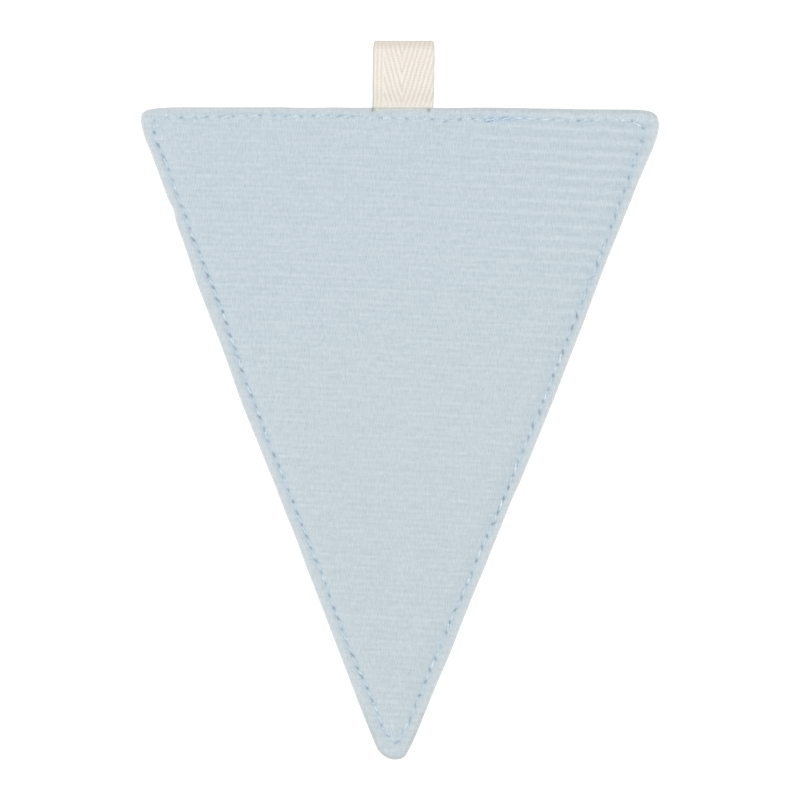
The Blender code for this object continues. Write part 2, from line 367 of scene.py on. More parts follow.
def sewnLine(count):
    top = sewnSide("top")
    right = [(x, y) for y, x in sewnSide("right")]
    left = [(x, y) for y, x in sewnSide("left")]
    corners = sewing["topLeft"], sewing["topRight"], sewing["low"]
    return smoothLoop(corners[0] + top + corners[1] + right + corners[2] + left, count)


# The edge of a panel, read from its solid's underside and walked clockwise from the top left.
def edgeOf(node, side):
    bm = bmesh.new()
    bm.from_mesh(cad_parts[node].data)
    bmesh.ops.remove_doubles(bm, verts=bm.verts, dist=0.000001)
    bm.normal_update()
    flat = {face for face in bm.faces if face.normal.z * side > 0.5}
    steps = {}
    for edge in bm.edges:
        if sum(face in flat for face in edge.link_faces) == 1:
            for vert in edge.verts:
                steps.setdefault(vert, []).append(edge.other_vert(vert))
    first = min(steps, key=lambda vert: vert.co.x - vert.co.y)
    walk, last = [first], None
    while True:
        here = walk[-1]
        following = [vert for vert in steps[here] if vert is not last]
        last = here
        if following[0] is first or (len(walk) > 2 and first in following):
            break
        walk.append(following[0])
    points = np.array([(vert.co.x / mm, vert.co.y / mm) for vert in walk])
    bm.free()
    after = np.roll(points, -1, axis=0)
    area = (points[:, 0] * after[:, 1] - points[:, 1] * after[:, 0]).sum()
    return points if area < 0 else np.roll(points[::-1], 1, axis=0)


# The pile stands a little proud of the cut edge, by direction, and more or less in a few spots, each given
# by x, y, its reach and how much more.
fuller = {
    "left": 0.43, "right": 0.05, "top": 0.26, "bottom": -0.12,
    "spots": [
        (-79.4, 81.3, 2.2, 0.18), (-71.9, 62.4, 1.9, 0.3), (-70.2, 58.4, 1.7, -0.22),
        (-33.4, -43.3, 5.0, -0.18), (-14.0, -92.0, 14.0, 0.12), (-7.0, -108.6, 2.4, 0.18),
        (-4.2, -111.0, 1.8, -0.12), (1.3, -110.4, 2.3, 0.55), (2.2, -109.2, 1.7, -0.12),
        (26.0, -51.0, 8.0, 0.12), (68.3, 52.6, 7.0, 0.2), (72.3, 60.9, 3.0, 0.14),
        (80.4, 86.8, 2.0, -0.2),
    ],
}


def fullerEdge(points):
    ahead = np.roll(points, -1, axis=0) - np.roll(points, 1, axis=0)
    out = leftOf(ahead) / np.linalg.norm(ahead, axis=1)[:, None]
    by = fuller["left"] * np.maximum(-out[:, 0], 0) + fuller["right"] * np.maximum(out[:, 0], 0)
    by += fuller["top"] * np.maximum(out[:, 1], 0) + fuller["bottom"] * np.maximum(-out[:, 1], 0) ** 4
    for x, y, reach, more in fuller["spots"]:
        by += more * bell(np.linalg.norm(points - np.array([x, y]), axis=1), reach)
    return points + out * by[:, None]


curvePoints = 6000
outline = fullerEdge(smoothLoop(edgeOf("front_panel", -1), curvePoints))
seam = sewnLine(curvePoints)

# Heights in millimetres above the table. The two panels meet at `meet`, and part by `lift` and `dip` over
# the tape's ends. `rim` holds insets from the edge with heights, from the edge's foot to the top of the
# rim.
panel = {
    "meet": 1.75, "parting": 0.03,
    "rim": [(0.34, 0.02), (0.1, 0.2), (0.0, 0.55), (0.1, 1.05), (0.42, 1.5), (0.9, 1.76), (1.5, 1.85)],
    "undercut": 2, "rimTop": 1.85, "smooth": 4.0,
    "toSeam": [0.22, 0.42, 0.58, 0.7, 0.8, 0.9, 1.0],
    "inside": [0.14, 0.3, 0.5, 0.75, 1.1, 1.6, 2.2, 2.9], "insideInset": 3,
    "flattening": (0, 5), "turnedIn": (-1.1, 0.5), "ribStart": (0.6, 1.6), "ribInside": (0.3, 2.2),
    "ribAtSeam": 0.4, "unevenStart": (0.2, 3), "seamEvery": 6,
    "grooveWidth": 0.85, "dimpleWidth": 0.47, "dimpleLength": 0.98, "dimpleReach": 3,
    "tapeMiddle": 0.45, "tapeHalf": 9.8, "tapeEnd": 80.0, "liftRamp": 4.5, "liftCuts": 4,
    "lift": 0.84, "dip": 0.6, "thinning": 0.2,
}
front = {
    "points": 1300, "rows": 0.471, "columns": 0.8,
    "rimTop": 1.85, "shoulder": 1.56, "face": 1.36, "groove": 0.3, "dimple": 0.34, "uneven": 1.0,
}
back = {
    "points": 900, "rows": 0.628, "columns": 1.6,
    "rimTop": 1.72, "shoulder": 1.66, "face": 1.6, "groove": 0.3, "dimple": 0.3, "uneven": 0.3,
}
# The sewing line is pressed in less along the top edge and at the tip.
softer = {"top": (82, 86.5), "topBy": 0.65, "tip": (86, 101), "tipBy": 0.55}


def pressed(y):
    return 1 - softer["topBy"] * ramp(y, *softer["top"]) - softer["tipBy"] * ramp(-y, *softer["tip"])


# 1 over the tape's ends and 0 away from them.
def overTape(x, y):
    beside = np.abs(x - panel["tapeMiddle"]) - panel["tapeHalf"]
    below = panel["tapeEnd"] - y
    return (1 - ramp(beside, 0, panel["liftRamp"])) * (1 - ramp(below, 0, panel["liftRamp"]))


# Slow unevenness of cloth that was turned, pressed and handled: heights and runs in millimetres.
waves = {
    "broad": 0.07, "broadX": 23, "broadY": 31, "startX": 0.6, "startY": -0.4,
    "slanted": 0.05, "slant": 0.6, "slantedRun": 14, "slantedStart": 2,
    "short": 0.03, "shortSlant": -1.7, "shortRun": 9, "shortStart": 1,
}


def unevenness(x, y):
    broad = np.sin(x / waves["broadX"] + waves["startX"]) * np.cos(y / waves["broadY"] + waves["startY"])
    slanted = np.sin((x + waves["slant"] * y) / waves["slantedRun"] + waves["slantedStart"])
    short = np.sin((x + waves["shortSlant"] * y) / waves["shortRun"] + waves["shortStart"])
    return waves["broad"] * broad + waves["slanted"] * slanted + waves["short"] * short


# How the holes vary from one to the next: shifts along the seam in stitches and off it in millimetres,
# turns in radians, and shares of the full depth and length.
needle = {
    "shift": 0.06, "stray": 0.12, "strayMost": 0.2, "turned": (0.22, 0.28),
    "depth": (0.6, 1.0), "depthUnpressed": 0.7, "length": (0.7, 1.7), "span": 12,
}
# A second run of stitches over the first, where the sewing starts and ends: x, y and depth of each hole.
tack = np.array([
    (26.2, 87.3, 0.3), (27.4, 86.7, 1.2), (28.6, 87.3, 0.8), (31.5, 87.4, 0.8), (33.8, 87.4, 0.8),
    (35.6, 86.8, 0.4),
])
# The two small notches where the panel turns up over the tape's edges.
notch = {"places": np.array([(-8.66, 90.0), (8.6, 89.9)]), "depth": 0.9, "length": 0.9}


# Where the needle went through, in order round the seam, each with its direction along it.
def needleHoles():
    run = np.concatenate([[0], np.cumsum(lengths(seam))])[:-1]
    total = run[-1] + lengths(seam)[-1]
    corners = [seamPlace(sewing[name][index]) for name, index in sewing["corners"].items()]
    corners.append(corners[0] + len(seam))
    places = []
    for name, start, end in zip(("top", "right", "left"), corners, corners[1:]):
        length = (end - start) / len(seam) * total
        steps = round(length / sewing["pitch"][name])
        for step in range(steps):
            shift = chance.normal(0, needle["shift"]) if step else 0
            places.append(start + (end - start) * (step + shift) / steps)
    places = (np.array(places) % len(seam)).astype(int)
    ahead = seam[(places + needle["span"]) % len(seam)] - seam[(places - needle["span"]) % len(seam)]
    ahead /= np.linalg.norm(ahead, axis=1)[:, None]
    most = needle["strayMost"]
    stray = chance.normal(0, needle["stray"], len(places)).clip(-most, most)
    return seam[places] + leftOf(ahead) * stray[:, None], ahead


def seamPlace(point):
    return int(((seam - np.array(point)) ** 2).sum(1).argmin())


holes, holeAhead = needleHoles()
tackHoles = tack[:, :2]
allHoles = np.vstack([holes, tackHoles, notch["places"]])
allAhead = np.vstack([holeAhead, [[1, 0]] * len(tack), [[0, 1]] * len(notch["places"])])
turned = chance.normal(*needle["turned"], len(allHoles))[:, None]
allAhead = allAhead * np.cos(turned) + leftOf(allAhead) * np.sin(turned)
holeDepth = chance.uniform(*needle["depth"], len(allHoles))
holeDepth *= needle["depthUnpressed"] + (1 - needle["depthUnpressed"]) * pressed(allHoles[:, 1])
holeDepth[len(holes):] = [*tack[:, 2]] + [notch["depth"]] * len(notch["places"])
holeLength = chance.uniform(*needle["length"], len(allHoles)) * panel["dimpleLength"]
holeLength[-len(notch["places"]):] = notch["length"] * panel["dimpleLength"]


def dimples(points):
    depth = np.zeros(len(points))
    for hole, ahead, deep, length in zip(allHoles, allAhead, holeDepth, holeLength):
        near = np.abs(points - hole).max(1) < panel["dimpleReach"]
        away = points[near] - hole
        along = away @ ahead
        beside = away @ np.array([-ahead[1], ahead[0]])
        spot = deep * bell(along, length) * bell(beside, panel["dimpleWidth"])
        depth[near] = np.maximum(depth[near], spot)
    return depth


# Height over the meeting plane, from how far in from the edge and from the sewing line the points are.
def panelHeight(points, inset, toSeam, spots, shape):
    x, y = points[:, 0], points[:, 1]
    rimInset, rimHeight = zip(*sorted(panel["rim"][panel["undercut"]:]))
    edge = np.interp(inset, rimInset, rimHeight) * shape["rimTop"] / panel["rimTop"]
    inside = shape["shoulder"] + (shape["face"] - shape["shoulder"]) * ramp(toSeam, *panel["flattening"])
    body = shape["rimTop"] + (inside - shape["rimTop"]) * ramp(toSeam, *panel["turnedIn"])
    height = np.minimum(edge, body) - shape["groove"] * bell(toSeam, panel["grooveWidth"]) * pressed(y)
    height -= shape["dimple"] * spots
    ribShare = panel["ribAtSeam"] + (1 - panel["ribAtSeam"]) * ramp(toSeam, *panel["ribInside"])
    height += ribHeight(x, y) * ramp(inset, *panel["ribStart"]) * ribShare
    return height + shape["uneven"] * unevenness(x, y) * ramp(inset, *panel["unevenStart"])


# The front panel's points over the table, from their height over the meeting plane.
def frontLevel(points, height):
    parted = overTape(points[:, 0], points[:, 1])
    lifted = panel["meet"] + panel["parting"] + panel["lift"] * parted
    return lifted + height * (1 - panel["thinning"] * parted)


def backLevel(points, height):
    parted = overTape(points[:, 0], points[:, 1])
    top = panel["meet"] - panel["parting"] - panel["dip"] * parted
    return top * (1 - np.clip(height / back["rimTop"], 0, 1))


# The rings of a panel from its edge inwards: their points, how far in they lie and how far past the seam.
def ringPlan(count):
    points = evenLoop(outline, count)
    reach = round(panel["smooth"] / (lengths(outline).sum() / count))
    sewn = across(seam, points, reach)
    width = np.linalg.norm(sewn - points, axis=1)
    inward = (sewn - points) / width[:, None]
    rings = []
    for inset, _ in panel["rim"]:
        rings.append((points + inward * inset, np.full(count, inset), inset - width))
    last = panel["rim"][-1][0]
    for share in panel["toSeam"]:
        inset = last + (width - last) * share
        rings.append((points + inward * inset[:, None], inset, inset - width))
    middle, reachIn = inCentre()
    for step in panel["inside"]:
        smaller = middle + (seam - middle) * (1 - step / reachIn)
        rings.append((across(smaller, points, reach), width + step, np.full(count, step)))
    return rings


# The point that is equally far from the three sides of the sewing line, and that distance.
def inCentre():
    corners = np.array([sewing["topLeft"][0], sewing["topRightSharp"], sewing["low"][2]])
    sides = [np.linalg.norm(corners[(i + 1) % 3] - corners[(i + 2) % 3]) for i in range(3)]
    middle = sum(side * corner for side, corner in zip(sides, corners)) / sum(sides)
    one, two = corners[1] - corners[0], corners[2] - corners[0]
    area = abs(one[0] * two[1] - one[1] * two[0]) / 2
    return middle, 2 * area / sum(sides)


# The face inside the sewing line is cut along the ribs and across them.
def cutFace(bm, face, shape, low, high):
    tilt = Vector((ribs["tilt"], 1, 0)).normalized()
    past = panel["insideInset"]
    rows = [place * tilt.y for place in np.arange(low[1] - past, high[1] + past, shape["rows"])]
    strips = cutAcross(bm, [face], rows, tilt)
    cutAcross(bm, strips, list(np.arange(low[0], high[0], shape["columns"])), Vector((1, 0, 0)))


# The hidden side is cut where it lifts to make room for the tape's ends.
def cutUnderside(bm, face):
    steps = np.linspace(0, panel["liftRamp"], panel["liftCuts"])
    under = cutAcross(bm, [face], sorted(panel["tapeEnd"] - steps), Vector((0, 1, 0)))
    half = panel["tapeHalf"]
    sides = [panel["tapeMiddle"] + side * (half + step) for side in (-1, 1) for step in steps]
    return cutAcross(bm, under, sorted(sides), Vector((1, 0, 0)))


# What each vertex of a panel knows of its place: plan, inset from the edge, distance past the seam, the
# number of its ring from 1 at the edge, and whether it lies on the hidden side.
def panelPlaces(bm, rings, plan, under):
    order = {vert: index for index, vert in enumerate(bm.verts)}
    plane = np.array([vert.co.xy for vert in bm.verts])
    inset, toSeam = np.zeros(len(plane)), np.zeros(len(plane))
    ringNumber = np.zeros(len(plane), int)
    for number, (ring, (_, ringInset, ringToSeam)) in enumerate(zip(rings, plan)):
        places = [order[vert] for vert in ring]
        inset[places], toSeam[places], ringNumber[places] = ringInset, ringToSeam, number + 1
    filled = ringNumber == 0
    toSeam[filled] = distanceTo(seam[::panel["seamEvery"]], plane[filled])
    inset[filled] = toSeam[filled] + panel["insideInset"]
    below = np.zeros(len(plane), bool)
    below[[order[vert] for face in under for vert in face.verts]] = True
    return plane, inset, toSeam, ringNumber, below & filled


# One panel: rings from the edge to inside the sewing line, then rows along the ribs and columns across.
def sewnPanel(name, shape, level, material):
    plan = ringPlan(shape["points"])
    bm = bmesh.new()
    rings = extrudedRings(bm, shape["points"], len(plan))
    for ring, (places, _, _) in zip(rings, plan):
        for vert, place in zip(ring, places):
            vert.co = (place[0], place[1], 0)
    inner, under = bm.faces.new(rings[-1]), bm.faces.new(rings[0])
    cutFace(bm, inner, shape, plan[0][0].min(0), plan[0][0].max(0))
    under = cutUnderside(bm, under)
    plane, inset, toSeam, ringNumber, below = panelPlaces(bm, rings, plan, under)
    spots = dimples(plane)
    height = panelHeight(plane, inset, toSeam, spots, shape)
    for number, (_, rise) in enumerate(panel["rim"][:panel["undercut"]]):
        height[ringNumber == number + 1] = rise
    height[below] = panel["rim"][0][1]
    for vert, z in zip(bm.verts, level(plane, height)):
        vert.co.z = z
    piece = finish(name, bm, material)
    keepVelvetValues(piece, plane, inset, toSeam, spots * ~below, ~below)
    return piece


# What the velvet's shading reads: the seam's painted light and shade is 1 inside its left side, where it
# lightens the cloth, and -1 inside its right side, where it darkens it, as if lit from the left; the others
# are 1 at the rim, in the groove and in a needle hole.
velvetZones = {
    "lean": 0.02, "shadeGap": 2, "shadeAt": 1.8, "shadeWidth": 2.2, "shadeFrom": 0.4,
    "shadeTop": 84.5, "shadeFade": 3, "rim": (0.4, 3.2), "grooveLeast": 0.4,
}


def keepVelvetValues(piece, plane, inset, toSeam, spots, shown):
    zone = velvetZones
    x, y = plane[:, 0], plane[:, 1]
    side = np.where(x < zone["lean"] * y, 1, -1) * (np.abs(x) > zone["shadeGap"])
    beside = bell(toSeam - zone["shadeAt"], zone["shadeWidth"]) * (toSeam > zone["shadeFrom"])
    grooved = zone["grooveLeast"] + (1 - zone["grooveLeast"]) * pressed(y)
    # Painted light and shade beside the seam, fading out towards the top.
    keepValues(piece, "slopeShade", side * beside * ramp(zone["shadeTop"] - y, 0, zone["shadeFade"]))
    keepValues(piece, "rim", (1 - ramp(inset, *zone["rim"])) * (toSeam < 0))
    keepValues(piece, "groove", bell(toSeam, panel["grooveWidth"]) * shown * grooved)
    keepValues(piece, "hole", spots)


# Colours laid over the cloth: the rim's is a painted sheen, the edge's, the shade, the holes' and the
# notches' are painted shade, the one at the tape's foot is painted light, and the groove's is partly
# painted shade.
velvetColours = {
    "low": (202.5, 213.5, 219.5), "top": (202.5, 214, 222, 1), "rim": (208, 218, 223, 1),
    "edge": (209, 216, 219, 1), "shade": (190, 197, 199, 1), "tapeFootLight": (222, 220, 210, 0.5),
    "groove": (197, 213, 223, 1.6), "tacked": (186, 207, 226, 1.3), "hole": (160, 176, 189, 1),
    "notch": (172, 173, 169, 1),
}
# Sizes in turns per millimetre, then detail and roughness, of each noise.
velvetGrain = {
    "sway": ((0.12, 0.2, 0.12),), "patch": (0.06,), "pile": (1.9, 2, 0.6),
    "dash": ((1.25, 0.5, 1.25), 2, 0.6), "streak": ((0.22, 1.35, 0.22),), "broken": ((0.2, 0.2, 0.2), 3),
    "wander": ((0.12, 0.3, 0.12), 1), "here": ((0.4, 0.35, 0.4),), "ruffled": (1.3, 2, 0.7),
}
# Pale lines along the ribs, partly the pile's own colour and partly painted highlight on the crests, broken
# here and
# there: fine ones with painted shade in the gap beside them over most of the face, and broad ones at its
# upper right, where the painted light and shade are stronger. Columns of pile stand between them.
velvetLines = {
    "sway": 0.7, "broken": 2.4, "brokenLess": 0.4, "strong": (30, 90),
    "crest": 2.1, "crestWidth": 0.48, "gap": 1.4, "gapAt": 0.95, "gapWidth": 0.42,
    "half": 0.7, "halfWidth": 0.6, "broad": 6.2, "broadWidth": 0.85, "broadLess": 2.6, "broadLeast": 0.75,
}
pileColumns = {
    "pitch": 0.86, "wander": 5, "stagger": 2.4, "here": (0.35, 0.6),
    "most": 1.1, "onRib": 0.5, "ribWidth": 0.4,
}
# How much each thing lightens or darkens the cloth, and how much of that its red, green and blue take.
velvetTones = {
    "line": 0.0135, "lineAtRim": 0.15, "column": 0.038, "dash": 0.25, "streak": 0.15, "pile": 0.16,
    "slopeShade": 0.02, "ruffled": 0.4, "fluffed": 0.4, "topSeam": 0.017, "topMargin": 0.023,
    "shares": (1.18, 1.0, 0.92),
}
# Where shades and tones lie, in millimetres: a middle with a width, or a start with an end.
velvetPlaces = {
    "fluffed": (87.6, 2.0), "topSeam": (87.4, 0.9), "topMargin": (89.2, 0.7),
    "bluer": (-60, 90), "bluerSlant": 0.3, "bluerPatch": 30,
    "tip": (88, 104), "top": (85, 89), "right": (5, 35),
    "tapeFoot": (89.4, 90.1), "tapeSide": (8.8, 9.4),
    "tackedX": (30.6, 4.6), "tackedY": (87.1, 1.1), "notchX": (8.63, 0.62), "notchY": (89.95, 0.62),
}
# The values of rim and hole between which a colour comes in, and how much shade the tip and the top have.
velvetShares = {
    "rim": (0, 0.9), "edge": (0.75, 1), "shade": (0.6, 1), "hole": (0.15, 1.0), "tip": 0.5, "top": 0.35,
}
velvetBump = {"pile": 0.5, "dash": 0.5, "columns": 0.15, "depth": 0.12, "strength": 0.5}


def ribLines(away, half, strong, broken):
    line = velvetLines
    crest = away.bell(line["crestWidth"]) * line["crest"] + half.bell(line["halfWidth"]) * line["half"]
    fine = crest - away.near(line["gapAt"], line["gapWidth"]) * line["gap"]
    broad = away.bell(line["broadWidth"]) * line["broad"] - line["broadLess"]
    whole = line["broadLeast"] + broken * (1 - line["broadLeast"])
    return fine * (1 - strong) * broken + broad * strong * whole


def columnsOfPile(x, turn, away, half, grain):
    column = pileColumns
    stagger = (turn * 2).whole() * column["stagger"]
    wave = x * (2 * math.pi / column["pitch"]) + grain["wander"] * column["wander"] + stagger
    onRib = (away.bell(column["ribWidth"]) + half.bell(column["ribWidth"])) * column["onRib"]
    return wave.sine() * grain["here"].step(*column["here"]) * (column["most"] - onRib)


def velvetTone(y, lines, columns, grain, zone):
    tones, places = velvetTones, velvetPlaces
    lines = lines * (1 - zone["rim"] * (1 - tones["lineAtRim"]))
    # The seam's painted light and shade and the ribs' painted highlight and shade go into the tone here,
    # with the pile's own columns.
    tone = 1 + lines * tones["line"] + columns * tones["column"] + zone["slopeShade"] * tones["slopeShade"]
    for name in ("pile", "dash", "streak"):
        tone = tone + (grain[name] - 0.5) * tones[name]
    ruffled = zone["groove"] * tones["ruffled"] + y.near(*places["fluffed"]) * tones["fluffed"]
    tone = tone + (grain["ruffled"] - 0.5) * ruffled + y.near(*places["topSeam"]) * tones["topSeam"]
    return tone - y.near(*places["topMargin"]) * tones["topMargin"]


def velvetColour(shop, x, y, grain, zone):
    places, shares = velvetPlaces, velvetShares
    bluer = y - x * places["bluerSlant"] + grain["patch"] * places["bluerPatch"]
    upperRight = y.step(*places["top"]) * x.step(*places["right"])
    shade = upperRight * shares["top"] + (-y).step(*places["tip"]) * shares["tip"]
    besideMiddle = abs(x - panel["tapeMiddle"])
    return shop.layered(velvetColours, "low", {
        "top": bluer.step(*places["bluer"]),
        # Painted sheen makes the rim lighter and greyer, and painted shade makes its steep outer edge a
        # little darker.
        "rim": zone["rim"].step(*shares["rim"]),
        "edge": zone["rim"].step(*shares["edge"]),
        "shade": zone["rim"].step(*shares["shade"]) * shade,
        # Painted light, cream like the tape, on the cloth where the tape comes out of the seam, in place of
        # the shade there.
        "tapeFootLight": y.step(*places["tapeFoot"]) * (1 - besideMiddle.step(*places["tapeSide"])),
        # Bluer pile in the groove from the pressed pile and blue thread, a little darker, partly painted
        # shade.
        "groove": zone["groove"] * grain["pile"],
        "tacked": x.near(*places["tackedX"]) * y.near(*places["tackedY"]) * grain["pile"],
        # Painted shade in the needle holes, over the dimples' own shading.
        "hole": zone["hole"].step(*shares["hole"]),
        # Painted shade in the small gaps where the panel turns up over the tape's edges.
        "notch": abs(x).near(*places["notchX"]) * y.near(*places["notchY"]),
    })


# Ribs as fine pale lines across, partly painted highlight and shade, with short upright dashes of pile in
# the rows between them.
def velvet():
    shop = Shop("ribbedVelvet")
    place = shop.place()
    x, y, _ = shop.axes(place)
    grain = shop.noises(place, velvetGrain)
    zone = {name: shop.value(name) for name in ("rim", "groove", "hole", "slopeShade")}
    crest = ribs["crest"] - x * ribs["tilt"] - x * x * ribs["bend"]
    crest = crest + (-y).step(*ribs["rising"]) * ribs["rise"]
    sway = (grain["sway"] - 0.5) * velvetLines["sway"]
    turn = (crest - y + sway) / (x * ribs["spread"] + ribs["pitch"])
    away = turn.fromWhole() * ribs["pitch"]
    half = (turn + 0.5).fromWhole() * ribs["pitch"]
    strong = (x + y * ribs["slant"]).step(*velvetLines["strong"])
    broken = grain["broken"] * velvetLines["broken"] - velvetLines["brokenLess"]
    columns = columnsOfPile(x, turn, away, half, grain)
    tone = velvetTone(y, ribLines(away, half, strong, broken), columns, grain, zone)
    colour = shop.shaded(velvetColour(shop, x, y, grain, zone), velvetTones["shares"], tone - 1)
    height = grain["pile"] * velvetBump["pile"] + grain["dash"] * velvetBump["dash"]
    height = height + columns * velvetBump["columns"]
    relief = shop.bump(height, velvetBump["depth"], velvetBump["strength"])
    shop.set(Base_Color=colour, Roughness=0.92, Normal=relief)
    shop.set(Sheen_Weight=0.04, Sheen_Roughness=0.5, Specular_IOR_Level=0.12)
    return shop.material


cloth = velvet()
frontPanel = sewnPanel("frontPanel", front, frontLevel, cloth)
backPanel = sewnPanel("backPanel", back, backLevel, cloth)


thread = {
    "radius": 0.34, "flat": 0.68, "sides": 8, "steps": 11, "turns": 1.2,
    "size": (0.92, 1.08), "lean": (0.2, 1.2), "rise": (-0.3, 0.05), "sink": 0.75, "steep": 2.0,
    "backLevel": 0.24, "backFlat": 0.4,
}


# One stitch of unit length along X: a two-ply thread that comes up at 0 and goes down at 1.
def oneStitch(bm):
    ring = bmesh.ops.create_circle(bm, cap_ends=True, segments=thread["sides"], radius=1)["verts"]
    bmesh.ops.scale(bm, verts=ring, vec=(1, thread["flat"], 1))
    bmesh.ops.rotate(bm, verts=ring, matrix=Matrix.Rotation(math.radians(90), 3, "Y"))
    bmesh.ops.scale(bm, verts=ring, vec=(1, thread["radius"], thread["radius"]))
    edges = list(bm.edges)
    last = ring
    turn = Matrix.Rotation(math.radians(360) * thread["turns"] / thread["steps"], 3, "X")
    for _ in range(thread["steps"]):
        grown = bmesh.ops.extrude_edge_only(bm, edges=edges)["geom"]
        edges, last = edgesOf(grown), verticesOf(grown)
        bmesh.ops.rotate(bm, verts=last, matrix=turn)
        bmesh.ops.translate(bm, verts=last, vec=(1 / thread["steps"], 0, 0))
    bmesh.ops.edgeloop_fill(bm, edges=edges)
    return list(bm.verts), list(bm.faces)


# Height of the front panel's face beside the seam, before the groove and the holes.
def seamTop(points):
    none = np.zeros(len(points))
    height = panelHeight(points, none + panel["insideInset"], none, none, front)
    return frontLevel(points, height)


# Stitches from hole to hole, on the front or on the back, each one leaning off the seam by up to `side`.
def stitches(name, pairs, material, up, side):
    bm = bmesh.new()
    made, faces = oneStitch(bm)
    for start, end in pairs:
        grown = verticesOf(bmesh.ops.duplicate(bm, geom=made + faces)["geom"])
        span = end - start
        length = np.linalg.norm(span)
        middle = (start + end) / 2
        top = seamTop(np.array([middle]))[0]
        size = chance.uniform(*thread["size"])
        turn = chance.uniform(0, math.pi)
        lean = chance.uniform(*thread["lean"]) * side
        rise = chance.uniform(*thread["rise"])
        bmesh.ops.rotate(bm, verts=grown, matrix=Matrix.Rotation(turn, 3, "X"))
        for vert in grown:
            share = vert.co.x * 2 - 1
            arch = 1 - abs(share) ** thread["steep"]
            vert.co.x = share * length / 2
            vert.co.y = vert.co.y * size + lean * share
            vert.co.z = vert.co.z * size + rise * arch - thread["sink"] * (1 - arch)
            under = max(thread["backLevel"] - vert.co.z * thread["backFlat"], 0)
            vert.co.z = top + vert.co.z if up else under
        heading = Matrix.Rotation(math.atan2(span[1], span[0]), 3, "Z")
        bmesh.ops.rotate(bm, verts=grown, matrix=heading)
        bmesh.ops.translate(bm, verts=grown, vec=(middle[0], middle[1], 0))
    bmesh.ops.delete(bm, geom=made, context="VERTS")
    return finish(name, bm, material)


# Colours of the thread: the whitest is a painted highlight, and the pale one is partly painted highlight.
threadColours = {
    "dark": (194, 211, 221), "pale": (220, 234, 241, 1), "stitchHighlight": (237, 245, 250, 0.8),
    "tacked": (202, 219, 239, 0.75),
}
threadLook = {
    "strands": ((3.2, 3.2, 1.28),), "strandsIn": (0.3, 0.7), "stitch": (0.3, 1), "stitchIn": (0.45, 0.7),
    "tackedX": (30.6, 5), "tackedY": (86, 86.3), "depth": 0.05, "strength": 0.5,
}


def threadFinish():
    look = threadLook
    shop = Shop("blueThread")
    place = shop.place()
    x, y, _ = shop.axes(place)
    strands = shop.noise(place, *look["strands"])
    colour = shop.layered(threadColours, "dark", {
        # Pale plies, partly their own colour and partly painted highlight, and a painted highlight on some
        # stitches at random.
        "pale": strands.step(*look["strandsIn"]),
        "stitchHighlight": shop.noise(place, *look["stitch"]).step(*look["stitchIn"]),
        "tacked": x.near(*look["tackedX"]) * y.step(*look["tackedY"]),
    })
    relief = shop.bump(strands, look["depth"], look["strength"])
    shop.set(Base_Color=colour, Roughness=0.55, Normal=relief, Specular_IOR_Level=0.3)
    return shop.material


blueThread = threadFinish()
pairs = list(zip(holes, np.roll(holes, -1, axis=0)))
tackPairs = list(zip(tackHoles[:-1], tackHoles[1:]))
topStitching = stitches("topStitching", pairs, blueThread, True, 0.4)
tackStitches = stitches("tackStitches", tackPairs, blueThread, True, 0.3)
backStitching = stitches("backStitching", pairs, blueThread, False, 0.1)


# `rootEnd` and `seamY` are where the tape's ends lie and where it leaves the panels, and its two layers
# come down or rise to flat at `lowerFlat` and `upperFlat`. `point` is the herringbone's middle.
tape = {
    "width": 19.05, "thick": 0.72, "centre": 0.6, "lean": 0.35, "skew": 0.25, "narrowing": 0.05,
    "seamY": 90.4, "rootEnd": 80.8, "rootLow": 1.36, "rootHigh": 2.48, "rootPressed": 0.8,
    "end": 111.46, "height": 6.8, "lowerFlat": 96.5, "upperFlat": 98.5,
    "step": 0.35, "grain": 0.3, "roundness": 6, "straightPoints": 200, "bendPoints": 60,
    "twill": 1.46, "steep": 16.0, "point": -0.45, "relief": 0.05, "reliefFade": (0.6, 1.4),
    "waviness": 0.04, "waveAlong": 3.1, "waveAcross": 5,
}
twillTwist = math.tan(math.radians(tape["steep"]))


# Middle of the tape's thickness (y, z), from its upper end round the loop to its lower end.
def tapePath():
    radius = tape["height"] / 2
    half = tape["thick"] / 2
    foldY = tape["end"] - radius
    there = np.linspace(tape["rootEnd"], foldY, tape["straightPoints"])[:-1]
    rise = ramp(there, tape["seamY"], tape["upperFlat"])
    fall = ramp(there, tape["seamY"], tape["lowerFlat"])
    upperRoot = tape["rootHigh"] - half * tape["rootPressed"]
    lowerRoot = tape["rootLow"] + half * tape["rootPressed"]
    upper = upperRoot + (tape["height"] - half - upperRoot) * rise
    lower = lowerRoot + (half - lowerRoot) * fall
    turn = np.linspace(0, math.pi, tape["bendPoints"])
    reach = radius - half
    bend = np.stack([foldY + np.sin(turn) * reach, radius + np.cos(turn) * reach], axis=1)
    path = np.vstack([np.stack([there, upper], axis=1), bend, np.stack([there, lower], axis=1)[::-1]])
    run = np.concatenate([[0], np.cumsum(np.linalg.norm(np.diff(path, axis=0), axis=1))])
    wanted = np.linspace(0, run[-1], round(run[-1] / tape["step"]))
    return np.stack([np.interp(wanted, run, path[:, axis]) for axis in (0, 1)], axis=1), wanted


# The tape cut across: its face from left to right, a rounded selvedge, and the way back.
def tapeSection():
    half, radius = tape["width"] / 2, tape["thick"] / 2
    flat = np.linspace(-half + radius, half - radius, round(tape["width"] / tape["grain"]))
    turns = np.linspace(0, math.pi, tape["roundness"])[1:-1]
    rounded = [(half - radius + radius * math.sin(turn), radius * math.cos(turn)) for turn in turns]
    face = [(u, radius) for u in flat]
    back = [(u, -radius) for u in flat[::-1]]
    return np.array(face + rounded + back + [(-u, -w) for u, w in rounded])


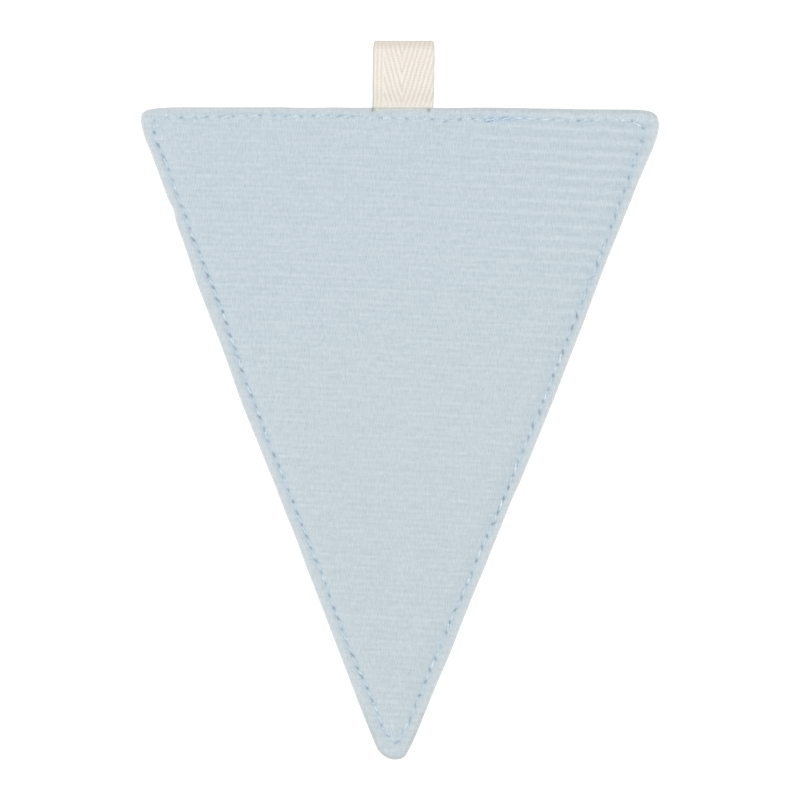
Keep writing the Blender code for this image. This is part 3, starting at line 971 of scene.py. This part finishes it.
# The section's x and its distance from the tape's middle at one place on the path.
def tapeRing(section, y, z, along):
    beyond = max(y - tape["seamY"], 0) / (tape["end"] - tape["seamY"])
    bend = max(y - tape["end"] + tape["height"] / 2, 0) / (tape["height"] / 2)
    lowness = 1 - min(z / tape["height"], 1)
    u, w = section[:, 0], section[:, 1]
    turn = (np.abs(u - tape["point"]) - along * twillTwist) / tape["twill"]
    raised = (0.5 - np.abs(turn % 1 - 0.5)) * 2
    inside = ramp(tape["width"] / 2 - np.abs(u), *tape["reliefFade"])
    w = w + np.sign(w) * tape["relief"] * (raised - 0.5) * inside
    wave = np.sin(along / tape["waveAlong"] + u / tape["waveAcross"])
    w = w + tape["waviness"] * wave * ramp(beyond, 0, 0.1)
    x = u * (1 - tape["narrowing"] * bend * bend) + tape["centre"] + tape["lean"] * beyond
    return x + tape["skew"] * lowness * ramp(beyond, 0, 0.2), w


def tapeLoop(material):
    path, run = tapePath()
    ahead = np.gradient(path, axis=0)
    ahead /= np.linalg.norm(ahead, axis=1)[:, None]
    section = tapeSection()
    bm = bmesh.new()
    rings = extrudedRings(bm, len(section), len(path))
    acrossTape, alongTape = np.zeros(len(bm.verts)), np.zeros(len(bm.verts))
    number = {vert: index for index, vert in enumerate(bm.verts)}
    for ring, (y, z), out, along in zip(rings, path, leftOf(ahead), run):
        xs, offsets = tapeRing(section, y, z, along)
        for vert, x, offset, u in zip(ring, xs, offsets, section[:, 0]):
            vert.co = (x, y + out[0] * offset, max(z + out[1] * offset, 0))
            acrossTape[number[vert]], alongTape[number[vert]] = u, along
    bm.faces.new(rings[0])
    bm.faces.new(rings[-1])
    piece = finish("hangingTape", bm, material)
    keepValues(piece, "across", acrossTape)
    keepValues(piece, "along", alongTape)
    say(f"tape length {run[-1]:.1f} mm")
    return piece, run[-1]


# Colours of the tape: the fold's two darker colours and the selvedges' grey are painted shade, and the two
# lightest near the seam are painted light.
tapeColours = {
    "between": (237, 230, 219), "thread": (251, 245, 236, 1), "dots": (217, 210, 199, 0.45),
    "patched": (246, 235, 226, 0.3), "foldShade": (224, 213, 200, 0.5), "turned": (205, 202, 197, 0.68),
    "lit": (252, 243, 234, 0.4), "footLight": (252, 254, 252, 0.9), "edge": (208, 206, 202, 1),
}
# Places are in millimetres, a start with an end: along y, up from the table, or off the width's middle.
tapeLook = {
    "wobble": (0.9,), "patch": (0.25,), "fibre": ((2.08, 1.44, 1.6), 3, 0.6), "wobbling": 0.5,
    "selvedge": (-6.2, -5.7), "selvedgeLines": 1.3, "crossPitch": 0.84, "crossSlant": 0.6,
    "thread": (0.1, 0.8), "dots": (0.15, 0.75), "patched": (0.4, 0.7),
    "foldShade": (108.0, 110.0), "turned": (110.7, 111.4), "upperHalf": (1.6, 3.4),
    "lit": (-93.2, -92.0), "footLight": (-91.7, -90.6), "left": (8.7, 9.2), "right": (8.9, 9.3),
    "leftMost": 0.6, "rightMost": 0.35, "fibreTone": 0.16, "depth": 0.1, "strength": 0.7,
}


def cottonTape():
    look = tapeLook
    shop = Shop("cottonTape")
    place = shop.place()
    _, y, z = shop.axes(place)
    u, v = shop.value("across"), shop.value("along")
    wobble = shop.noise(place, *look["wobble"]) * look["wobbling"]
    patch, fibre = shop.noise(place, *look["patch"]), shop.noise(place, *look["fibre"])
    turn = (abs(u - tape["point"]) - v * twillTwist) / tape["twill"] + wobble
    straight = ((u + wobble) / look["selvedgeLines"]).fromWhole() * 1.5 + 0.15
    inside = u.step(*look["selvedge"])
    valley = turn.fromWhole() * 2 * inside + straight * (1 - inside)
    cross = (v * (2 * math.pi / look["crossPitch"]) + abs(u) * look["crossSlant"]).sine() * 0.5 + 0.5
    upper = z.step(*look["upperHalf"])
    colour = shop.layered(tapeColours, "between", {
        "thread": valley.step(*look["thread"]),
        "dots": (1 - valley.step(*look["dots"])) * cross,
        "patched": patch.step(*look["patched"]),
        # Painted shade over the upper half of the fold, where the tape bends over.
        "foldShade": y.step(*look["foldShade"]) * upper,
        # Painted shade along the top of the fold, over its upper half.
        "turned": y.step(*look["turned"]) * upper,
        # Painted light where the tape nears the seam, nearly white at its foot, in place of the panels'
        # shade over it.
        "lit": (-y).step(*look["lit"]),
        "footLight": (-y).step(*look["footLight"]),
        # Painted shade along both selvedges, more on the left.
        "edge": (-u).step(*look["left"]) * look["leftMost"] + u.step(*look["right"]) * look["rightMost"],
    })
    tone = 1 + (fibre - 0.5) * look["fibreTone"]
    height = valley.step(0, 0.8) + cross * 0.3 + fibre * 0.4
    relief = shop.bump(height, look["depth"], look["strength"])
    shop.set(Base_Color=shop.tint(colour, tone), Roughness=0.9, Normal=relief, Specular_IOR_Level=0.15)
    return shop.material


hangingTape, tapeLength = tapeLoop(cottonTape())


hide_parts("front_panel")
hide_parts("back_panel")
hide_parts("hanging_loop")
for piece in (frontPanel, backPanel, hangingTape, topStitching, tackStitches, backStitching):
    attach(piece, "root")


view = {"wide": 248.0, "away": 1400.0, "x": -0.23, "y": 0.08, "level": 3.0, "sensor": 36.0, "farthest": 10}
light = {
    "room": 0.73, "left": 0.285, "right": 0.255, "rise": 30.0, "away": 1.6, "size": 0.8,
    "table": 0.35, "glow": 0.85, "tableSize": 1500, "tableDrop": 0.02,
}


def tableTop():
    bm = bmesh.new()
    bmesh.ops.create_grid(bm, x_segments=2, y_segments=2, size=light["tableSize"])
    bmesh.ops.translate(bm, verts=bm.verts, vec=(0, 0, -light["tableDrop"]))
    shop = Shop("paleTable")
    shop.set(Base_Color=(light["table"],) * 3 + (1.0,), Roughness=0.9, Specular_IOR_Level=0.1)
    shop.set(Emission_Color=(1.0, 1.0, 1.0, 1.0), Emission_Strength=light["glow"])
    finish("tableTop", bm, shop.material)


def softBox(name, side, strength):
    lamp = bpy.data.lights.new(name, "AREA")
    lamp.size = light["size"]
    lamp.energy = strength * (math.pi * light["away"]) ** 2
    holder = bpy.data.objects.new(name, lamp)
    rise = math.radians(light["rise"])
    holder.location = Vector((side * math.cos(rise), 0, math.sin(rise))) * light["away"]
    holder.rotation_euler = (-holder.location).to_track_quat("-Z", "Y").to_euler()
    bpy.context.scene.collection.objects.link(holder)


def roomLight():
    world = bpy.data.worlds.new("paleRoom")
    world.use_nodes = True
    world.node_tree.nodes["Background"].inputs["Color"].default_value = (1, 1, 1, 1)
    world.node_tree.nodes["Background"].inputs["Strength"].default_value = light["room"]
    bpy.context.scene.world = world
    bpy.context.scene.view_settings.view_transform = "Standard"


def camera():
    lens = bpy.data.cameras.new("straightAbove")
    lens.sensor_width = view["sensor"]
    lens.lens = view["sensor"] * view["away"] / view["wide"]
    lens.clip_end = view["farthest"]
    holder = bpy.data.objects.new("straightAbove", lens)
    holder.location = (view["x"] * mm, view["y"] * mm, (view["away"] + view["level"]) * mm)
    bpy.context.scene.collection.objects.link(holder)
    bpy.context.scene.camera = holder


tableTop()
softBox("leftBox", -1, light["left"])
softBox("rightBox", 1, light["right"])
roomLight()
camera()
